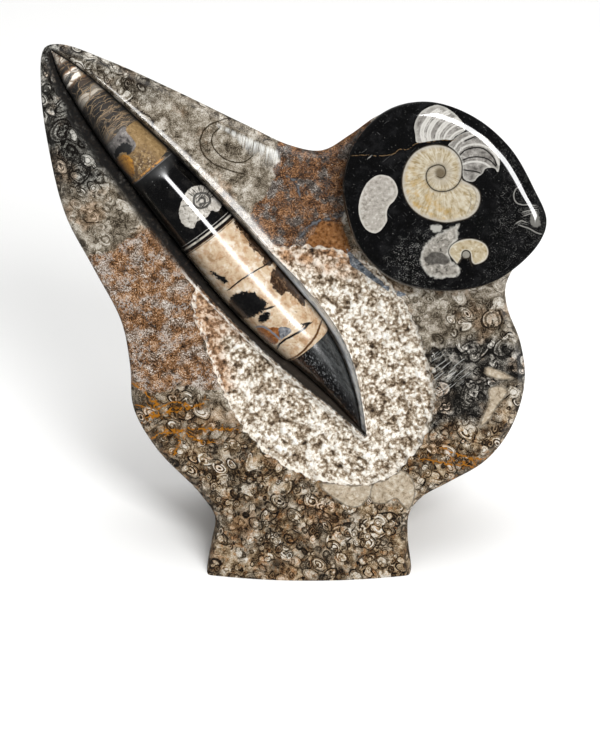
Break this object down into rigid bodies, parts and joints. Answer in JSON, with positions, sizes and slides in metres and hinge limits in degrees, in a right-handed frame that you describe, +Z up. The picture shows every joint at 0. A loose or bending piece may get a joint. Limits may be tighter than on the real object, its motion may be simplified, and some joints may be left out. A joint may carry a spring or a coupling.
{
  "type": "orthoceras and goniatite fossil carving",
  "caption": "Free-standing polished fossil limestone slab with a straight orthoceras set in a carved channel and a black goniatite cabochon on its shoulder.",
  "frame": {"origin": "middle of the whole carving's box in plan, on the surface its sawn base stands on", "axes": "+Z up, +X to the carving's right as seen from the front, +Y to the back; the polished face looks towards -Y and leans back"},
  "size_m": [0.176, 0.0826, 0.1813],
  "materials": {
    "fossil_limestone": "polished grey and rust-brown fossil limestone, pecked in the hollow",
    "orthoceras_stone": "polished banded brown, black and cream calcite",
    "black_limestone": "high-polish black limestone with pale goniatites"
  },
  "bodies": {
    "root": {"limestone_matrix": "fossil_limestone", "orthoceras": "orthoceras_stone", "goniatite_cabochon": "black_limestone"}
  },
  "joints": []
}
